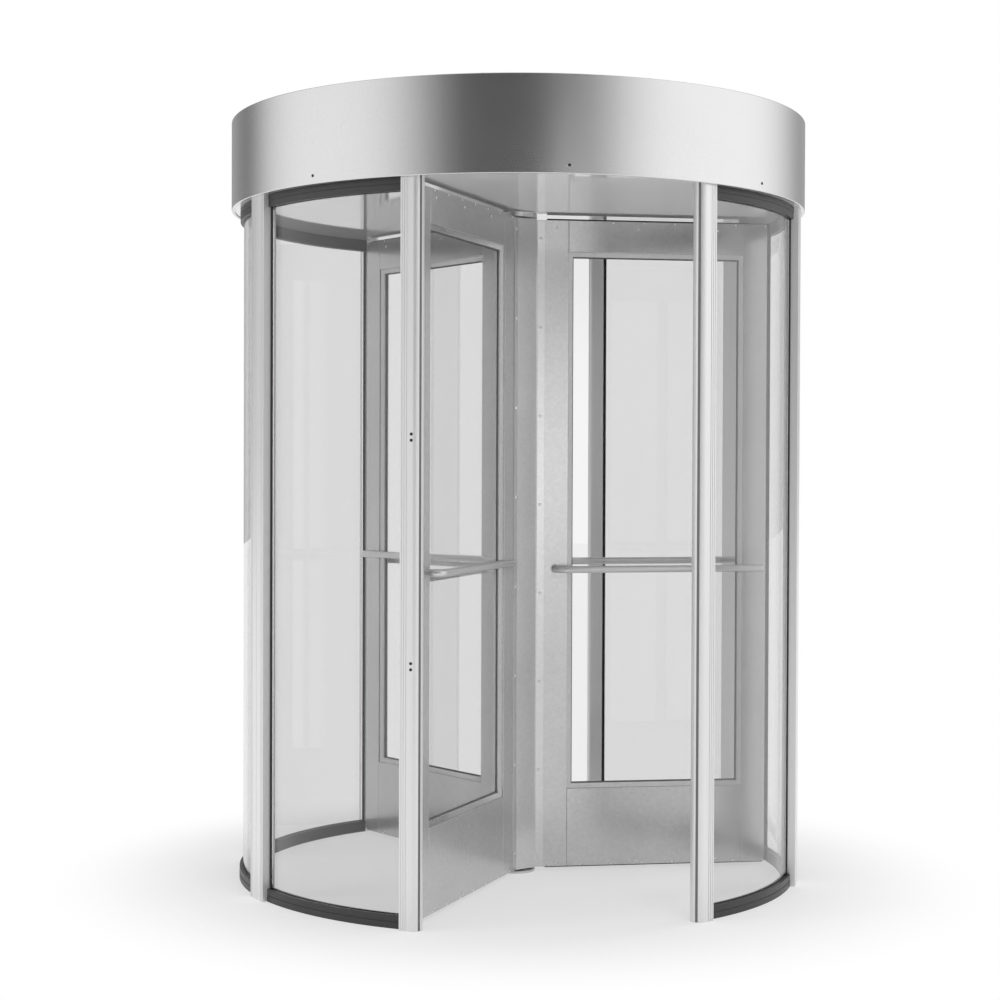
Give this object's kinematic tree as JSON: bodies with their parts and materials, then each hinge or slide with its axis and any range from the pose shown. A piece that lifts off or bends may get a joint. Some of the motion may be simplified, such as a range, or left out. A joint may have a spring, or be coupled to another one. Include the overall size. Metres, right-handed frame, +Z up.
{
  "type": "revolving door",
  "caption": "Manual revolving door: glazed wings on a centre shaft turn in a round drum of curved glass, satin metal posts and a deep round canopy.",
  "frame": {"origin": "on the floor at the turning axis of the wings, which is the middle of the drum", "axes": "+Z up along the turning axis, front doorway towards -Y, rear doorway towards +Y"},
  "size_m": [1.91, 1.91, 2.493],
  "materials": {
    "canopy_metal": "satin",
    "soffit": "semi-gloss",
    "post_metal": "satin",
    "dark_rail": "satin",
    "wall_glass": "clear",
    "wing_glass": "clear",
    "rubber": "matte",
    "bar_metal": "satin",
    "bearing_steel": "satin",
    "wing_sheet": "satin"
  },
  "bodies": {
    "surround": {"fascia_front": "canopy_metal", "fascia_rear": "canopy_metal", "canopy_roof": "canopy_metal", "soffit_panel": "soffit", "jamb_front_left": "post_metal", "jamb_front_right": "post_metal", "jamb_rear_left": "post_metal", "jamb_rear_right": "post_metal", "mullions_left": "post_metal", "mullions_right": "post_metal", "top_rails_left": "dark_rail", "top_rails_right": "dark_rail", "bottom_rails_left": "dark_rail", "bottom_rails_right": "dark_rail", "glass_left_front": "wall_glass", "glass_left_middle": "wall_glass", "glass_left_rear": "wall_glass", "glass_right_front": "wall_glass", "glass_right_middle": "wall_glass", "glass_right_rear": "wall_glass", "wall_gaskets": "rubber", "floor_bearing": "bearing_steel", "top_bearing": "bearing_steel"},
    "rotor": {"centre_shaft": "bearing_steel", "corner_cover_1": "wing_sheet", "corner_cover_2": "wing_sheet", "corner_cover_3": "wing_sheet", "wing_1_stiles": "wing_sheet", "wing_1_rails": "wing_sheet", "wing_1_glass": "wing_glass", "wing_1_stops": "wing_sheet", "wing_1_bars": "bar_metal", "wing_1_seals": "rubber", "wing_2_stiles": "wing_sheet", "wing_2_rails": "wing_sheet", "wing_2_glass": "wing_glass", "wing_2_stops": "wing_sheet", "wing_2_bars": "bar_metal", "wing_2_seals": "rubber", "wing_3_stiles": "wing_sheet", "wing_3_rails": "wing_sheet", "wing_3_glass": "wing_glass", "wing_3_stops": "wing_sheet", "wing_3_bars": "bar_metal", "wing_3_seals": "rubber"}
  },
  "joints": [
    {"name": "rotor_turn", "type": "hinge", "parent": "surround", "child": "rotor", "pos_m": [0, 0, 0], "axis": [0, 0, 1], "continuous": true}
  ]
}
